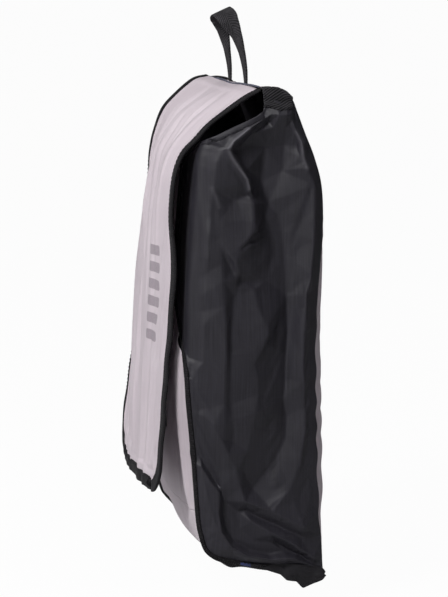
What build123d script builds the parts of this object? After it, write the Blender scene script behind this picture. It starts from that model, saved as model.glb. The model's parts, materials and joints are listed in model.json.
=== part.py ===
from build123d import *
import math
import os

# A hanging shoe bag with a long front flap, in millimetres.
# X runs across the width, -Y is the front with the flap, +Z is up.
# The origin is on the base panel's underside, at the middle of the width.
# Side profiles are (y, z) points with z measured up from the heel, the bag's lowest corner at the back.

# Driving dimensions
bag_width = 220.0
bag_height = 373.0
bag_depth = 108.0
back_y = 52.0
ridge_y = 3.0
base_slope = 8.0
origin_height = 7.0
corner_radius = 19.0
cloth = 0.8
tape = 1.0
tape_width = 9.0
gap = 0.3
flap_width = 210.0
flap_bottom_z = 66.0
flap_corner_radius = 28.0
bend_y = -61.2
bend_z = 314.0
fold_z = 32.0
loop_width = 15.0
loop_thickness = 1.6
loop_rise = 57.0
loop_spread = 62.0
strip_width = 50.0
strip_height = 25.0
strip_z = 100.0

# Derived places
half_width = bag_width / 2
slope_sin = math.sin(math.radians(base_slope))
slope_cos = math.cos(math.radians(base_slope))
gusset_inner_x = half_width - cloth
panel_half = gusset_inner_x - gap
trim_x = half_width + gap / 2
front_y = back_y - bag_depth
base_front_y = front_y + corner_radius + 4.0
sheet_end_gap = 0.7
tape_end_gap = 1.7

# Side profile of the back panel from the heel to the ridge: y, z and how far its middle is crowned outwards
back_stations = [
    (back_y, 0.6, 0.5),
    (back_y - 1.0, 70.0, 7.0),
    (back_y - 2.0, 160.0, 10.0),
    (back_y - 1.0, 245.0, 8.0),
    (back_y - 3.0, 297.0, 4.0),
    (back_y - 14.0, 338.0, 1.5),
    (back_y - 24.0, 362.0, 0.5),
]
# The short top that runs from the shoulder forward to the ridge
top_profile = [(back_y - 24.0, 362.0), (22.0, 369.5), (13.0, 372.6), (ridge_y + 1.5, bag_height)]

# Front panel from the fold above the base to the mouth: y, z and crown
front_stations = [
    (-46.0, fold_z + 1.5, 1.0),
    (-51.0, 98.0, 3.0),
    (-56.0, 165.0, 2.5),
    (-58.0, 250.0, 1.0),
    (-57.0, 315.0, 1.0),
]
front_seam = [(y, z) for y, z, crown in front_stations]
mouth_line = [(-57.0, 316.0), (-45.0, 333.0), (ridge_y - 1.0, bag_height - 4.0)]

# The flap hangs from the ridge over the mouth and down the front
flap_top_path = [(ridge_y - 1.0, bag_height - 0.6), (-12.0, 364.5), (-35.0, 347.5), (-49.0, 333.5), (-58.3, 321.0)]
flap_front_path = [(-63.6, 305.0), (-66.0, 275.0), (-65.0, 225.0), (-69.0, 155.0), (-74.0, 95.0)]


def base_height(y):
    """Height of the base panel's middle surface above the heel."""
    return origin_height + (cloth / 2 - y * slope_sin) / slope_cos


def side_plane(x):
    """The plane of a side profile, whose own axes are y and the height above the heel."""
    return Plane(origin=(x, 0, -origin_height), x_dir=(0, 1, 0), z_dir=(1, 0, 0))


def cross_plane(y):
    """The plane of a front view, whose own axes are x and the height above the heel."""
    return Plane(origin=(0, y, -origin_height), x_dir=(1, 0, 0), z_dir=(0, -1, 0))


def shifted(points, distance):
    """Points on the curve through the given ones, moved sideways to its left by a distance."""
    curve = Spline(*points)
    moved = []
    steps = 2 * len(points)
    for i in range(steps + 1):
        along = curve % (i / steps)
        place = curve @ (i / steps)
        moved.append((place.X - along.Y * distance, place.Y + along.X * distance))
    return moved


def strip_across(points, thickness, x_from, x_to, first_cut=0.0, last_cut=0.0):
    """A sheet whose side profile follows the points, from one x to another, shortened at its two ends."""
    curve = Spline(*points)
    profile = curve.trim(first_cut / curve.length, 1 - last_cut / curve.length)
    with BuildPart() as strip:
        with BuildSketch(side_plane(x_from)):
            trace(profile, line_width=thickness)
        extrude(amount=x_to - x_from)
    return strip


def crowned_sheet(stations, half_span, thickness, outward):
    """A sheet lofted through the stations, its middle bowed to the back for outward +1 or the front for -1."""
    with BuildPart() as sheet:
        for i, (y, z, crown) in enumerate(stations):
            before = stations[max(i - 1, 0)]
            after = stations[min(i + 1, len(stations) - 1)]
            climb = Vector(0, after[0] - before[0], after[1] - before[1])
            bow = crown * outward
            with BuildSketch(Plane(origin=(0, y, z - origin_height), x_dir=(1, 0, 0), z_dir=climb)):
                with BuildLine():
                    inner = ThreePointArc((-half_span, 0), (0, bow), (half_span, 0))
                    outer = ThreePointArc((-half_span, thickness), (0, bow + thickness), (half_span, thickness))
                    Line(inner @ 0, outer @ 0)
                    Line(inner @ 1, outer @ 1)
                make_face()
        loft()
    return sheet


def side_band(points, thickness, width, side, x_from):
    """A flat tape in a plane of constant x, centred on a curve through the points, for the side +1 or -1."""
    middle = Spline(*points)
    with BuildPart() as band:
        with BuildSketch(side_plane(side * x_from)):
            trace(middle, line_width=width)
        extrude(amount=side * thickness)
    return band


def bottom_corners(strip, thickness):
    """The two short edges at a hanging strip's lower corners."""
    short_edges = strip.edges().filter_by(lambda edge: edge.length < thickness * 1.2)
    return short_edges.sort_by(Axis.Z)[:2]


parts = {}

# Back panel, with the short top that reaches the ridge
back_crown = crowned_sheet(back_stations, panel_half, cloth, 1)
back_top = strip_across(top_profile, cloth, -panel_half, panel_half)
with BuildPart() as back_panel:
    add(back_crown.part)
    add(back_top.part)
parts["back_panel"] = back_panel

# Base panel: flat, lower at the back, and turned up round the front corner to the fold
with BuildPart() as base_panel:
    with BuildSketch(side_plane(-panel_half)):
        with BuildLine() as base_line:
            base_flat = Line((back_y - 1.0, base_height(back_y - 1.0)), (base_front_y, base_height(base_front_y)))
            Spline(
                base_flat @ 1,
                (-42.0, 20.0),
                (-45.6, fold_z - 1.5),
                tangents=(base_flat % 1, (-0.1, 1.0)),
            )
        trace(base_line.line, line_width=cloth)
    extrude(amount=2 * panel_half)
parts["base_panel"] = base_panel

# Front panel
parts["front_panel"] = crowned_sheet(front_stations, panel_half - gap, cloth, -1)

# Turned hem inside the front panel's top edge
hem_path = [(-54.6, 298.0), (-54.5, 306.0), (-54.2, 314.0)]
parts["front_hem"] = strip_across(hem_path, cloth, -panel_half + 4.0, panel_half - 4.0)

# Ridge tape, inside under the seam of back panel and flap
tape_path = [(ridge_y + 2.0, 371.6), (ridge_y + 6.0, 371.5), (ridge_y + 10.0, 371.0)]
parts["ridge_tape"] = strip_across(tape_path, cloth, -98.0, 98.0)


def gusset(side):
    """A flat side panel, inside the outline of back, top, mouth, front and base."""
    with BuildPart() as panel:
        with BuildSketch(side_plane(side * gusset_inner_x)):
            with BuildLine():
                back_edge = Spline(*[(y, z) for y, z, crown in back_stations])
                top_edge = Spline(*top_profile)
                Polyline(top_edge @ 1, mouth_line[2], mouth_line[1], mouth_line[0], front_seam[-1])
                front_edge = Spline(*reversed(front_seam))
                base_corner = Spline(
                    front_edge @ 1,
                    (-41.0, 19.0),
                    (base_front_y, base_height(base_front_y)),
                    tangents=(front_edge % 1, (slope_cos, -slope_sin)),
                )
                Line(base_corner @ 1, back_edge @ 0)
            make_face()
        extrude(amount=side * cloth)
    return panel


def side_binding(side):
    """Tape folded flat along the front seam, round the corner and along the base seam."""
    inset = tape_width / 2
    front_points = list(reversed(shifted(front_seam, -inset)))
    with BuildPart() as band:
        with BuildSketch(side_plane(side * trim_x)):
            with BuildLine() as seam:
                front_run = Spline(*front_points)
                turn = Spline(
                    front_run @ 1,
                    (-37.5, 22.0),
                    (base_front_y + 4.0, base_height(base_front_y + 4.0) + inset),
                    tangents=(front_run % 1, (slope_cos, -slope_sin)),
                )
                Line(turn @ 1, (back_y - 4.0, base_height(back_y - 4.0) + inset))
            trace(seam.line, line_width=tape_width)
        extrude(amount=side * tape)
    return band


def mouth_hem(side):
    """Narrow turned hem along the gusset's slanted mouth edge."""
    lower, middle, upper = mouth_line
    run = [(lower[0] + 9.0, lower[1] + 4.0), (middle[0] + 8.0, middle[1]), (upper[0] - 2.0, upper[1] - 7.0)]
    return side_band(run, cloth, 7.0, side, trim_x)


def back_seam_tape(side):
    """Tape over the raw seam inside the back corner."""
    run = shifted([(back_y, 8.0)] + [(y, z) for y, z, crown in back_stations[1:5]] + [(39.0, 331.0)], 9.0)
    return side_band(run, -tape, tape_width, side, gusset_inner_x - gap)


def corner_tab(side):
    """Webbing folded over the gusset's top corner: one leg outside, one leg on the top."""
    outer_x = half_width + 2.4
    top_z = bag_height + 2.6
    leg = 1.4
    with BuildPart() as tab:
        with BuildSketch(cross_plane(24.0)):
            with BuildLine():
                Polyline(
                    (side * outer_x, top_z - 20.0),
                    (side * outer_x, top_z),
                    (side * (outer_x - 14.0), top_z),
                    (side * (outer_x - 14.0), top_z - leg),
                    (side * (outer_x - leg), top_z - leg),
                    (side * (outer_x - leg), top_z - 20.0),
                    close=True,
                )
            make_face()
        extrude(amount=24.0 - (ridge_y + 2.5))
    return tab


def heel_tab(side):
    """Bunched end of the binding tape at the bottom back corner."""
    crumple = [(22.0, 7.5), (30.0, 8.5), (37.0, 5.5), (44.0, 7.5), (51.0, 4.5)]
    return side_band(crumple, 2.2, 7.0, side, trim_x + tape + gap / 2)


for name, side in (("left", -1), ("right", 1)):
    parts["gusset_" + name] = gusset(side)
    parts["side_binding_" + name] = side_binding(side)
    parts["mouth_hem_" + name] = mouth_hem(side)
    parts["back_seam_tape_" + name] = back_seam_tape(side)
    parts["corner_tab_" + name] = corner_tab(side)
    parts["heel_tab_" + name] = heel_tab(side)

# Small folded label caught in the right base seam
with BuildPart() as seam_label:
    with BuildSketch(side_plane(trim_x + tape + gap / 2)):
        with Locations((-7.0, 11.0)):
            Rectangle(12.0, 7.0)
    extrude(amount=cloth)
parts["seam_label"] = seam_label

# Flap: the top part runs from the ridge to the bend over the front
flap_half = flap_width / 2
flap_cloth_half = flap_half - tape - gap
flap_points = flap_top_path + [(bend_y, bend_z)] + flap_front_path + [(-76.0, flap_bottom_z)]
flap_top_points = flap_points[: len(flap_top_path) + 1]
flap_front_points = flap_points[len(flap_top_path) :]
parts["flap_top_panel"] = strip_across(
    flap_top_points, cloth, -flap_cloth_half, flap_cloth_half, 0.0, sheet_end_gap
)

# Flap: the front part hangs from the bend and has round lower corners
flap_front_blank = strip_across(
    flap_front_points, cloth, -flap_cloth_half, flap_cloth_half, sheet_end_gap, tape + gap
)
with BuildPart() as flap_front_panel:
    add(flap_front_blank.part)
    fillet(bottom_corners(flap_front_panel, cloth), flap_corner_radius - tape - gap)
parts["flap_front_panel"] = flap_front_panel

slot_thickness = cloth + 2 * gap
folded_tape = slot_thickness + 2 * tape


def flap_top_binding(side):
    """Tape folded over one side edge of the flap's top part."""
    inner_x = flap_half - tape_width
    blank = strip_across(flap_top_points, folded_tape, side * inner_x, side * flap_half, 3.0, tape_end_gap)
    slot_end = side * (flap_half - tape)
    slot = strip_across(flap_top_points, slot_thickness, side * (inner_x - 1.0), slot_end, 1.0, 0.1)
    with BuildPart() as channel:
        add(blank.part)
        add(slot.part, mode=Mode.SUBTRACT)
    return channel


parts["flap_top_binding_left"] = flap_top_binding(-1)
parts["flap_top_binding_right"] = flap_top_binding(1)

# Tape folded over the sides, round corners and hem of the flap's front part
slot_half = flap_half - tape
slot_blank = strip_across(flap_front_points, slot_thickness, -slot_half, slot_half, 0.1, tape)
with BuildPart() as binding_slot:
    add(slot_blank.part)
    fillet(bottom_corners(binding_slot, slot_thickness), flap_corner_radius - tape)
binding_blank = strip_across(flap_front_points, folded_tape, -flap_half, flap_half, tape_end_gap, 0.0)
with BuildPart() as flap_front_binding:
    add(binding_blank.part)
    fillet(bottom_corners(flap_front_binding, folded_tape), flap_corner_radius)
    add(binding_slot.part, mode=Mode.SUBTRACT)
    inner_half = flap_half - tape_width
    inner_bottom = flap_bottom_z + tape_width
    with BuildSketch(cross_plane(0)):
        with Locations((0, inner_bottom)):
            window = Rectangle(2 * inner_half, bag_height - inner_bottom, align=(Align.CENTER, Align.MIN))
        fillet(window.vertices().group_by(Axis.Y)[0], flap_corner_radius - tape_width)
    extrude(amount=bag_depth, mode=Mode.SUBTRACT)
parts["flap_front_binding"] = flap_front_binding

# Touch fastener: hooks inside the flap, loops on the front panel
strip_top_z = strip_z + strip_height
hook_path = [(-71.2, strip_z), (-70.2, strip_z + strip_height / 2), (-69.2, strip_top_z)]
parts["hook_strip"] = strip_across(hook_path, tape, -strip_width / 2, strip_width / 2)
loop_path = [(-55.8, strip_z), (-56.9, strip_z + strip_height / 2), (-57.9, strip_top_z)]
parts["loop_strip"] = strip_across(loop_path, tape, -strip_width / 2, strip_width / 2)

# Hanging loop: one length of webbing that stands on the top behind the ridge
loop_y = ridge_y + 4.0
loop_foot_z = bag_height + 2.8
with BuildPart() as handle_loop:
    with BuildSketch(cross_plane(loop_y + loop_thickness / 2)):
        with BuildLine() as arch:
            half_spread = loop_spread / 2
            crest = loop_foot_z + loop_rise - loop_width / 2
            left_leg = Line((-half_spread, loop_foot_z), (-half_spread + 6.0, crest - 24.0))
            right_leg = Line((half_spread - 6.0, crest - 24.0), (half_spread, loop_foot_z))
            Spline(
                left_leg @ 1,
                (0, crest),
                right_leg @ 0,
                tangents=(left_leg % 1, right_leg % 0),
            )
        trace(arch.line, line_width=loop_width)
    extrude(amount=loop_thickness)
parts["handle_loop"] = handle_loop

# The loop's two tails, sewn down inside under the top
tail_path = [(13.5, 370.0), (20.0, 367.5), (24.0, 363.0)]
tail_places = (-loop_spread / 2, loop_spread / 2)
tails = [strip_across(tail_path, loop_thickness, x - loop_width / 2, x + loop_width / 2) for x in tail_places]
with BuildPart() as handle_tails:
    for tail in tails:
        add(tail.part)
parts["handle_tails"] = handle_tails

# Thread bars across the tails
with BuildPart() as handle_bartacks:
    for tail_x in tail_places:
        with BuildSketch(side_plane(tail_x - loop_width / 2)):
            with Locations((15.0, 367.6), (19.0, 366.2)):
                Circle(0.6)
        extrude(amount=loop_width)
parts["handle_bartacks"] = handle_bartacks

os.makedirs("parts", exist_ok=True)
for name, built in parts.items():
    built.part.label = name
    export_step(built.part, "parts/" + name + ".step")
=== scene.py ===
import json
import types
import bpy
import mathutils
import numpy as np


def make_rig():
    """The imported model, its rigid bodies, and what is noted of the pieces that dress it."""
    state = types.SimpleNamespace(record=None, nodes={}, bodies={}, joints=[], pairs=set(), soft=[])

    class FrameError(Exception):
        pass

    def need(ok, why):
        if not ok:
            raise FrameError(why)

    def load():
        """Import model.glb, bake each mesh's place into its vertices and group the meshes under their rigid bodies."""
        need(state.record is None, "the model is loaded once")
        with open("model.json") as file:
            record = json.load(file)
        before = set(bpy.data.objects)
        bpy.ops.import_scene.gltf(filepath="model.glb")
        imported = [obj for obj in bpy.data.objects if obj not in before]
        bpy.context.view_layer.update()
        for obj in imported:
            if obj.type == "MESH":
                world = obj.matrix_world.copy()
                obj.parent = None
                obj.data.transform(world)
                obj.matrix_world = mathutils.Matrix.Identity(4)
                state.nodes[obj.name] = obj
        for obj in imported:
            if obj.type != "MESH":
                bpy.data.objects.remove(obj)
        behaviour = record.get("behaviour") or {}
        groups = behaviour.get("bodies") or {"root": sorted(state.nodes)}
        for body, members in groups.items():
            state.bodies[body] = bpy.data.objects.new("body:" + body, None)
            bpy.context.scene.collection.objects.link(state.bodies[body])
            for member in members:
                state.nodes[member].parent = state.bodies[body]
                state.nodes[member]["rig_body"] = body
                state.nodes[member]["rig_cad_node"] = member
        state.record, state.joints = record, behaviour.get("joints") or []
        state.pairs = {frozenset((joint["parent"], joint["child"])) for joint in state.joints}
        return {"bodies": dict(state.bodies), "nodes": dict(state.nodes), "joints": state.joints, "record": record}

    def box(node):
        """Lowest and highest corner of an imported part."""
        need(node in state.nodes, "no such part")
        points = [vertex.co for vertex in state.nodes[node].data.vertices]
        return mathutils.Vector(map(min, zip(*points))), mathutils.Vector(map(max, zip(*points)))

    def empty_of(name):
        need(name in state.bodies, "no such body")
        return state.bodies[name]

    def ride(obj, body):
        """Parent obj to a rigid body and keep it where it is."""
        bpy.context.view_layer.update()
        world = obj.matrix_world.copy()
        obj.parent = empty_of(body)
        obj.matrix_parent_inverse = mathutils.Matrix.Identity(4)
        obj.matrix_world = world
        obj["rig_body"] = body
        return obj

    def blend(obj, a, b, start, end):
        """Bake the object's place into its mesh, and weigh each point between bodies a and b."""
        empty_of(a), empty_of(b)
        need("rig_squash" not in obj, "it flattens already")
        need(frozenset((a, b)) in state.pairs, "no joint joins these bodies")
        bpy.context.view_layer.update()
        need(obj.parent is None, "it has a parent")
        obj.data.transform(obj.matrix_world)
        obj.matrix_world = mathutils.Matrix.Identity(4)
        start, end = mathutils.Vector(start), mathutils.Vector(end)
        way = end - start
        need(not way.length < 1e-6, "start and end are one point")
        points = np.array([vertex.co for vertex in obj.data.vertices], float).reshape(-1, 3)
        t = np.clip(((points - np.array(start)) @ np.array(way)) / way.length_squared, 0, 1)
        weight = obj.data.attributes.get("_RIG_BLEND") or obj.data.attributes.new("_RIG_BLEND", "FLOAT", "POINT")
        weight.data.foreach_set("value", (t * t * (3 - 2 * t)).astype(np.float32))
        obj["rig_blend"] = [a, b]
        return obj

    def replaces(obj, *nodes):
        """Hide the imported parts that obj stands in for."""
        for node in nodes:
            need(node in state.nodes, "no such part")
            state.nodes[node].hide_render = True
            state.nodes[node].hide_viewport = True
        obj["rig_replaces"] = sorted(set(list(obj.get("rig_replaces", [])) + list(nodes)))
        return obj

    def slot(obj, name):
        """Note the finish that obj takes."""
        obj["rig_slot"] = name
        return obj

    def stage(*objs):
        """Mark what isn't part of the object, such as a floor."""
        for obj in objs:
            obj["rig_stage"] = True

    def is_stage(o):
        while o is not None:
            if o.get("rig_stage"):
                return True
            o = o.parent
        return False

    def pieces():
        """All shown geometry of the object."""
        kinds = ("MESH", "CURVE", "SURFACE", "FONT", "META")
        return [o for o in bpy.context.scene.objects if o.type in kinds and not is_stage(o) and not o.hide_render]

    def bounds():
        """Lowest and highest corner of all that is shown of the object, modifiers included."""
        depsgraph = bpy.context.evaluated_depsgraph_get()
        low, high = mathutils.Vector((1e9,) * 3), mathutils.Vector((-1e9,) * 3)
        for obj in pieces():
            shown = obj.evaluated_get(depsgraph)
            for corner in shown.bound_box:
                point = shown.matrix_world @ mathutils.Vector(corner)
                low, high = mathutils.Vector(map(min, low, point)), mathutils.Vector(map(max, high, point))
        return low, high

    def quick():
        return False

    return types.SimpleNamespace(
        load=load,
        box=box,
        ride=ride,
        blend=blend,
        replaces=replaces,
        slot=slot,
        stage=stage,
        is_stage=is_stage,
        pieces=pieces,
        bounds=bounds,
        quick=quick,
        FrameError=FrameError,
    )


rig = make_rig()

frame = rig.load()
cad_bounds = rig.bounds()

import json
import math
import random

import bpy
import numpy as np
from mathutils import Vector
from mathutils.bvhtree import BVHTree
from mathutils.geometry import delaunay_2d_cdt

# A hanging shoe bag with a long front flap. Lengths here are millimetres, with z measured up from the
# heel (the lowest corner at the back); to_world() turns them into the frame's metres.
# X runs across the width, -Y is the front with the flap. Colours are screen values, 0 to 255.
MM = 0.001
HALF = 110.0  # half the bag's width
HEEL_TO_GUSSET = 0.6
SETTLE_FRAMES = 12
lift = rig.box("gusset_right")[0].z / MM - HEEL_TO_GUSSET
seed = random.Random(7)


# ---------------------------------------------------------------- geometry helpers
def to_world(points):
    """Millimetres above the heel to metres in the frame."""
    moved = np.array(points, float)
    moved[..., 2] += lift
    return moved * MM


def curve_through(points, count):
    """Evenly spaced points on a smooth curve through the given ones."""
    p = np.array(points, float)
    p = np.vstack([2 * p[0] - p[1], p, 2 * p[-1] - p[-2]])
    t = np.linspace(0, 1, 24, endpoint=False)[:, None]
    runs = []
    for a, b, c, d in zip(p, p[1:], p[2:], p[3:]):
        cubic = (d - 3 * c + 3 * b - a) * t**3 + (2 * a - 5 * b + 4 * c - d) * t**2 + (c - a) * t + 2 * b
        runs.append(cubic / 2)
    dense = np.vstack(runs + [p[-2:-1]])
    steps = np.linalg.norm(np.diff(dense, axis=0), axis=1)
    along = np.concatenate([[0], np.cumsum(steps)])
    at = np.linspace(0, along[-1], count)
    return np.column_stack([np.interp(at, along, dense[:, k]) for k in range(p.shape[1])])


def arc_length(points):
    """Distance along a run of points, starting at 0."""
    steps = np.linalg.norm(np.diff(points, axis=0), axis=1)
    return np.concatenate([[0], np.cumsum(steps)])


def smoothstep(x, low, high):
    t = np.clip((x - low) / (high - low), 0, 1)
    return t * t * (3 - 2 * t)


def hump(x, centre, width):
    """A soft bump of height 1."""
    return np.exp(-(((x - centre) / width) ** 2))


def softened(field, passes):
    """Averages a 2-D field (or grid of points) with its neighbours, leaving its border alone."""
    field = field.copy()
    for _ in range(passes):
        inner = field[1:-1, 1:-1]
        around = (field[:-2, 1:-1] + field[2:, 1:-1] + field[1:-1, :-2] + field[1:-1, 2:]) / 4
        field[1:-1, 1:-1] = (inner + around) / 2
    return field


def grid_faces(rows, cols, loop=False):
    """Quads of a grid of vertices, row by row; loop joins the last column to the first."""
    faces = []
    for r in range(rows - 1):
        for c in range(cols if loop else cols - 1):
            d = (c + 1) % cols
            faces.append((r * cols + c, r * cols + d, (r + 1) * cols + d, (r + 1) * cols + c))
    return faces


def make_object(name, points, faces, uv, material):
    """A mesh object from millimetre points, with texture coordinates in metres of cloth."""
    mesh = bpy.data.meshes.new(name)
    mesh.from_pydata(to_world(points).tolist(), [], faces)
    layer = mesh.uv_layers.new(name="cloth")
    index = np.zeros(len(mesh.loops), int)
    mesh.loops.foreach_get("vertex_index", index)
    layer.data.foreach_set("uv", (np.array(uv, float) * MM)[index].ravel())
    mesh.materials.append(material)
    mesh.polygons.foreach_set("use_smooth", [True] * len(mesh.polygons))
    mesh.update()
    obj = bpy.data.objects.new(name, mesh)
    bpy.context.scene.collection.objects.link(obj)
    return obj


def cloth_object(name, grid, uv, material, outward, thickness=0.6, finer=True, inside=None):
    """A sheet of cloth from a grid of points; outward is a rough direction of its outer face."""
    rows, cols = grid.shape[:2]
    faces = grid_faces(rows, cols)
    points = grid.reshape(-1, 3)
    a, b, c = (points[[f[k] for f in faces]] for k in (0, 1, 3))
    if np.cross(b - a, c - a).sum(axis=0) @ np.array(outward, float) < 0:
        faces = [f[::-1] for f in faces]
    obj = make_object(name, points, faces, uv.reshape(-1, 2), material)
    if finer:
        obj.modifiers.new("Finer", "SUBSURF").levels = 1
        obj.modifiers["Finer"].render_levels = 1
    solid = obj.modifiers.new("Thickness", "SOLIDIFY")
    solid.thickness = thickness * MM
    solid.offset = -1
    if inside:
        obj.data.materials.append(inside)
        solid.material_offset = 1
    return obj


class Surface:
    """A grid of cloth as a surface that trims are laid on; its normal points outward."""

    def __init__(self, grid, outward):
        rows, cols = grid.shape[:2]
        points = grid.reshape(-1, 3)
        faces = grid_faces(rows, cols)
        a, b, c = (points[[f[k] for f in faces]] for k in (0, 1, 3))
        self.flip = np.cross(b - a, c - a).sum(axis=0) @ np.array(outward, float) < 0
        self.tree = BVHTree.FromPolygons([Vector(p) for p in points], faces)

    def nearest(self, point):
        place, normal, _, _ = self.tree.find_nearest(Vector(point))
        if self.flip:
            normal = -normal
        return np.array(place), np.array(normal)


def relax(grid, held, excess, cap, gravity=0.15, step=1):
    """Lets a sheet with a little too much fabric settle by cloth simulation; no point moves more than cap.

    Only every step-th row and column is simulated, and the points between follow them.
    """
    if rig.quick():
        return grid
    sheet, held = grid[::step, ::step], held[::step, ::step]
    rows, cols = sheet.shape[:2]
    scene = bpy.context.scene
    mesh = bpy.data.meshes.new("settling")
    mesh.from_pydata(to_world(sheet.reshape(-1, 3)).tolist(), [], grid_faces(rows, cols))
    obj = bpy.data.objects.new("settling", mesh)
    scene.collection.objects.link(obj)
    group = obj.vertex_groups.new(name="held")
    group.add([int(i) for i in np.flatnonzero(held.ravel())], 1.0, "REPLACE")
    cloth = obj.modifiers.new("Cloth", "CLOTH")
    settings = cloth.settings
    settings.quality = 6
    settings.mass = 0.2
    settings.tension_stiffness = 20
    settings.compression_stiffness = 20
    settings.shear_stiffness = 8
    settings.bending_stiffness = 0.05
    settings.air_damping = 3
    settings.vertex_group_mass = "held"
    settings.shrink_min = -excess
    settings.effector_weights.gravity = gravity
    cloth.point_cache.frame_start = 1
    cloth.point_cache.frame_end = SETTLE_FRAMES
    for f in range(1, SETTLE_FRAMES + 1):
        scene.frame_set(f)
    settled = obj.evaluated_get(bpy.context.evaluated_depsgraph_get()).data
    moved = np.zeros(rows * cols * 3)
    settled.vertices.foreach_get("co", moved)
    moved = moved.reshape(sheet.shape) / MM
    moved[..., 2] -= lift
    bpy.data.objects.remove(obj)
    bpy.data.meshes.remove(mesh)
    scene.frame_set(1)
    shift = moved - sheet
    size = np.linalg.norm(shift, axis=2, keepdims=True)
    shift *= np.tanh(size / cap) * cap / np.maximum(size, 1e-6)
    return grid + spread_out(shift, grid.shape)


def hold_rim(shape, width):
    """Marks a band of points along all four edges of a grid."""
    held = np.ones(shape, bool)
    held[width:-width, width:-width] = False
    return held


def spread_out(coarse, shape):
    """A coarse grid of vectors drawn out evenly to a finer shape."""
    down = np.linspace(0, len(coarse) - 1, shape[0])
    low = np.minimum(down.astype(int), len(coarse) - 2)
    part = (down - low)[:, None, None]
    tall = coarse[low] * (1 - part) + coarse[low + 1] * part
    along = np.linspace(0, coarse.shape[1] - 1, shape[1])
    low = np.minimum(along.astype(int), coarse.shape[1] - 2)
    part = (along - low)[None, :, None]
    return tall[:, low] * (1 - part) + tall[:, low + 1] * part


# ---------------------------------------------------------------- materials
def srgb(*values):
    """Screen colour, 0 to 255, as linear light."""
    return tuple(((v / 255 + 0.055) / 1.055) ** 2.4 if v > 10 else v / 255 / 12.92 for v in values) + (1.0,)


class Finish:
    """A small builder for one node material."""

    def __init__(self, name):
        self.material = bpy.data.materials.new(name)
        self.material.use_nodes = True
        self.tree = self.material.node_tree
        self.tree.nodes.clear()

    def node(self, kind, settings=None, **inputs):
        made = self.tree.nodes.new("ShaderNode" + kind)
        for key, value in (settings or {}).items():
            setattr(made, key, value)
        for key, value in inputs.items():
            numbered = key[0] == "i" and key[1:].isdigit()
            self.feed(made.inputs[int(key[1:]) if numbered else key.replace("_", " ")], value)
        return made

    def feed(self, socket, value):
        """Sets an input, or links it to another node's output."""
        if isinstance(value, bpy.types.NodeSocket):
            self.tree.links.new(value, socket)
        else:
            socket.default_value = value

    def math(self, operation, a, b=0.0, c=0.0):
        return self.node("Math", {"operation": operation}, i0=a, i1=b, i2=c).outputs[0]

    def noise(self, vector, scale, detail=2.0, rough=0.5):
        made = self.node("TexNoise", None, Vector=vector, Scale=scale, Detail=detail, Roughness=rough)
        return made.outputs[0]

    def scaled(self, vector, x, y, z=1.0):
        return self.node("Mapping", None, Vector=vector, Scale=(x, y, z)).outputs[0]

    def mix(self, factor, a, b):
        made = self.node("Mix", {"data_type": "RGBA"})
        for place, value in ((0, factor), (6, a), (7, b)):
            self.feed(made.inputs[place], value)
        return made.outputs[2]

    def output(self, shader):
        self.node("OutputMaterial", None, Surface=shader)
        return self.material


def woven(
    name, dark, light, relief, rough, sheen, glint=0.5, streak=0.5, through=0.0, blocks=None, crest=None
):
    """Plain-woven cloth: crossed threads of uneven thickness, soft sheen, slow colour drift and lint.

    through is the share of light that passes the cloth, blocks a print and crest the pale colour along fold crests,
    partly crease wear and partly a painted highlight.
    """
    f = Finish(name)
    uv = f.node("TexCoord").outputs["UV"]
    place = f.node("TexCoord").outputs["Object"]
    split = f.node("SeparateXYZ", None, Vector=uv)
    warp = f.noise(f.scaled(uv, 900, 30), 1.0, 2.0)
    weft = f.noise(f.scaled(uv, 30, 900), 1.0, 2.0)
    threads = f.math("MULTIPLY_ADD", weft, 0.2, warp)
    crumple = f.noise(place, 70, 3.0, 0.5)
    height = f.math("MULTIPLY_ADD", crumple, 1.2, threads)
    bump = f.node("Bump", None, Strength=relief, Distance=0.00035, Height=height).outputs[0]
    drift = f.noise(place, 14, 3.0)
    tone = f.math("MULTIPLY_ADD", f.math("SUBTRACT", threads, 0.6), streak, drift)
    colour = f.mix(tone, dark, light)
    if blocks:
        colour = printed_blocks(f, split, colour, blocks)
    if crest:
        # the crest colour mixed in here is partly crease wear and partly a painted highlight along the folds
        wear_and_highlight = f.node("Attribute", {"attribute_name": "wear_and_highlight"}).outputs["Fac"]
        colour = f.mix(wear_and_highlight, colour, crest)
    lint = f.math("GREATER_THAN", f.noise(place, 900, 1.0), 0.83)
    colour = f.mix(f.math("MULTIPLY", lint, 0.05), colour, srgb(225, 222, 224))
    roughness = f.math("MULTIPLY_ADD", drift, 0.16, rough - 0.08)
    cloth = f.node(
        "BsdfPrincipled", None, Base_Color=colour, Roughness=roughness, Normal=bump,
        Sheen_Weight=sheen, Sheen_Roughness=0.45, Specular_IOR_Level=glint,
    ).outputs[0]
    if through:
        behind = f.node("BsdfTranslucent", None, Color=colour, Normal=bump).outputs[0]
        cloth = f.node("MixShader", None, i0=through, i1=cloth, i2=behind).outputs[0]
    return f.output(cloth)


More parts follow.
